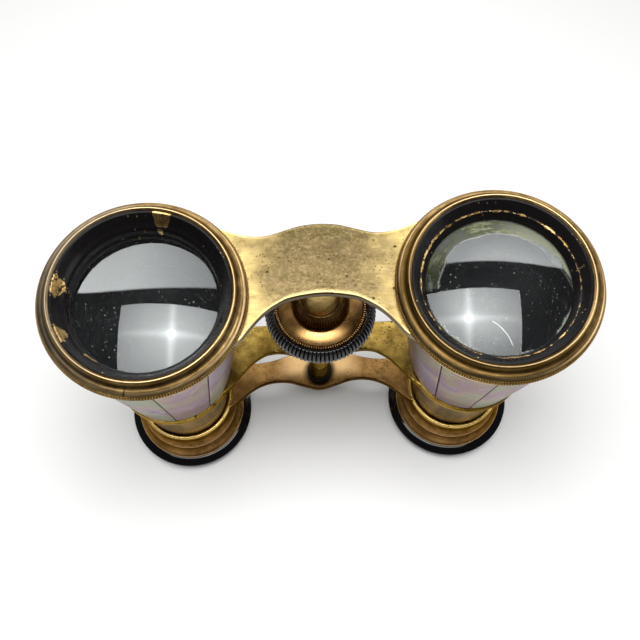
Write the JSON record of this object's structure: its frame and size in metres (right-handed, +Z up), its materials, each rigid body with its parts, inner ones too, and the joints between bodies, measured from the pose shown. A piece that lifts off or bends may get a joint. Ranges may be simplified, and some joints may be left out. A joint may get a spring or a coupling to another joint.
{
  "type": "opera glasses",
  "caption": "Small opera glasses: two pearl-clad brass barrels on three bridges, focused by a knurled wheel that slides the barrels along their draw tubes.",
  "frame": {"origin": "on the floor under the part, midway between the two eyecups", "axes": "+Z up along the optical axes, +X from the left barrel to the right one, +Y towards the focus wheel's side"},
  "size_m": [0.0988, 0.0368, 0.0773],
  "materials": {
    "gilt_brass": "worn gilding on brass, satin with brighter rubbed edges",
    "dark_brass": "aged bronze-brown brass, satin",
    "drawn_brass": "drawn tube, smooth, greyed",
    "black_ebonite": "polished hard rubber",
    "black_japan": "black lacquer on brass, satin, chipped",
    "mother_of_pearl": "polished shell slabs, iridescent",
    "lens_glass": "polished uncoated glass",
    "screw_steel": "darkened steel"
  },
  "bodies": {
    "eyepiece_carriage": {"left_eyecup_ring": "black_ebonite", "left_ocular_cell": "dark_brass", "left_ocular_lens": "lens_glass", "left_ocular_retainer": "black_japan", "left_draw_tube": "drawn_brass", "right_eyecup_ring": "black_ebonite", "right_ocular_cell": "dark_brass", "right_ocular_lens": "lens_glass", "right_ocular_retainer": "black_japan", "right_draw_tube": "drawn_brass", "eyepiece_bridge": "dark_brass", "focus_spindle": "gilt_brass", "spindle_collar": "screw_steel", "spindle_nut": "screw_steel"},
    "objective_frame": {"left_barrel_tube": "dark_brass", "left_guide_tube": "drawn_brass", "left_lower_ring": "gilt_brass", "left_pearl_1": "mother_of_pearl", "left_pearl_2": "mother_of_pearl", "left_pearl_3": "mother_of_pearl", "left_pearl_4": "mother_of_pearl", "left_pearl_5": "mother_of_pearl", "left_pearl_6": "mother_of_pearl", "left_pearl_7": "mother_of_pearl", "left_pearl_8": "mother_of_pearl", "left_pearl_9": "mother_of_pearl", "left_pearl_10": "mother_of_pearl", "left_bezel": "gilt_brass", "left_lens_ring": "black_japan", "left_objective_crown": "lens_glass", "left_objective_flint": "lens_glass", "right_barrel_tube": "dark_brass", "right_guide_tube": "drawn_brass", "right_lower_ring": "gilt_brass", "right_pearl_1": "mother_of_pearl", "right_pearl_2": "mother_of_pearl", "right_pearl_3": "mother_of_pearl", "right_pearl_4": "mother_of_pearl", "right_pearl_5": "mother_of_pearl", "right_pearl_6": "mother_of_pearl", "right_pearl_7": "mother_of_pearl", "right_pearl_8": "mother_of_pearl", "right_pearl_9": "mother_of_pearl", "right_pearl_10": "mother_of_pearl", "right_bezel": "gilt_brass", "right_lens_ring": "black_japan", "right_objective_crown": "lens_glass", "right_objective_flint": "lens_glass", "mid_bridge": "gilt_brass", "top_bridge": "gilt_brass", "upper_sleeve": "gilt_brass", "lower_sleeve": "gilt_brass"},
    "focus_wheel": {"wheel_rim": "black_ebonite", "wheel_hub": "gilt_brass"}
  },
  "joints": [
    {"name": "focus_slide", "type": "slide", "parent": "eyepiece_carriage", "child": "objective_frame", "axis": [0, 0, 1], "range_m": [-0.015, 0.002]},
    {"name": "focus_wheel_turn", "type": "hinge", "parent": "objective_frame", "child": "focus_wheel", "pos_m": [0, 0.0043, 0.0556], "axis": [0, 0, 1], "range_deg": [-455, 65]}
  ],
  "couplings": [
    {"joint": "focus_wheel_turn", "follows": "focus_slide", "rad_per_m": 523.6}
  ]
}
